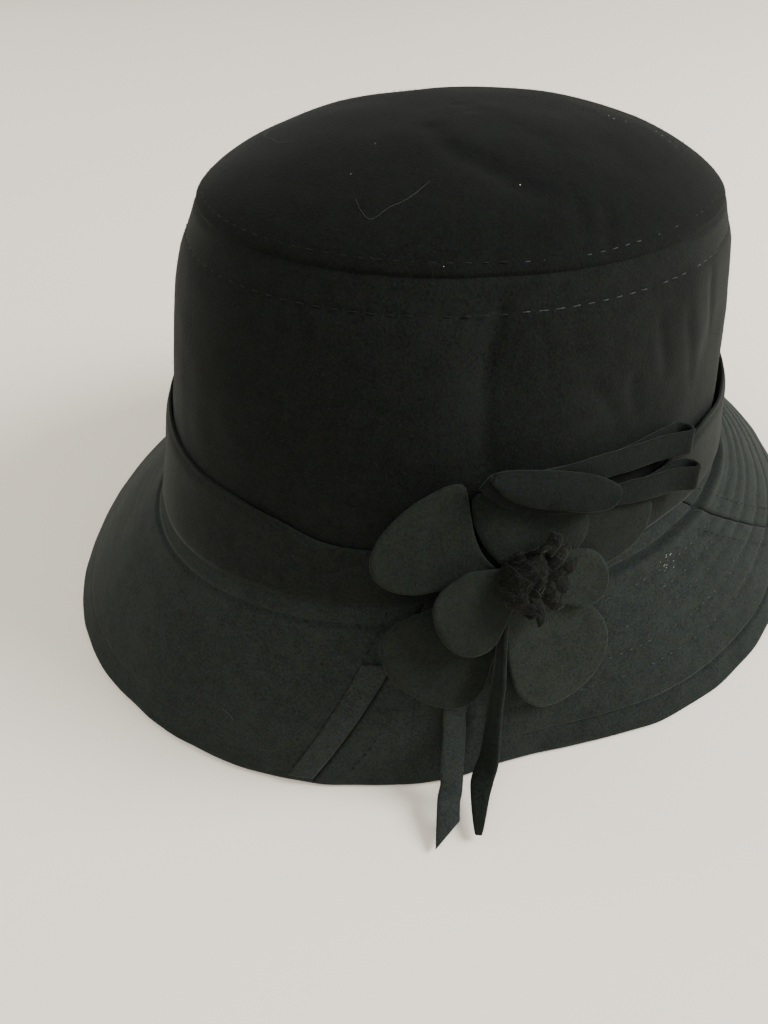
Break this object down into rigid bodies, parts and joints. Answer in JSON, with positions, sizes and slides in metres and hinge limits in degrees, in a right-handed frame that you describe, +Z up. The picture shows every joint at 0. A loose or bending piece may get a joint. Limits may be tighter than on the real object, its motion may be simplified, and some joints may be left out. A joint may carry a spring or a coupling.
{
  "type": "cloche hat",
  "caption": "Cloche hat in black wool felt: domed crown with a seamed oval tip, deep sloping brim, felt band, and a felt flower with looped strips at the side.",
  "frame": {"origin": "on the table, under the middle of the hat's bounding box", "axes": "+Z up, front of the hat towards -Y, wearer's left towards +X"},
  "size_m": [0.253, 0.2788, 0.1431],
  "materials": {
    "crown_felt": "black wool felt, matt, short nap",
    "brim_felt": "black wool felt, matt, rows of topstitching",
    "band_felt": "black wool felt, matt",
    "strip_felt": "black wool felt strip, cut edges",
    "petal_felt": "black wool felt, smooth cut petals",
    "fringe_felt": "black felt fringe, frayed"
  },
  "bodies": {
    "root": {"crown_tip": "crown_felt", "crown_side": "crown_felt", "brim_front": "brim_felt", "brim_back": "brim_felt", "hat_band": "band_felt", "bow_loop_upper": "strip_felt", "bow_loop_lower": "strip_felt", "tail_left": "strip_felt", "tail_right": "strip_felt", "flower_centre": "fringe_felt", "petal_1": "petal_felt", "petal_2": "petal_felt", "petal_3": "petal_felt", "petal_4": "petal_felt", "petal_5": "petal_felt", "petal_6": "petal_felt", "petal_7": "petal_felt", "petal_8": "petal_felt"}
  },
  "joints": []
}
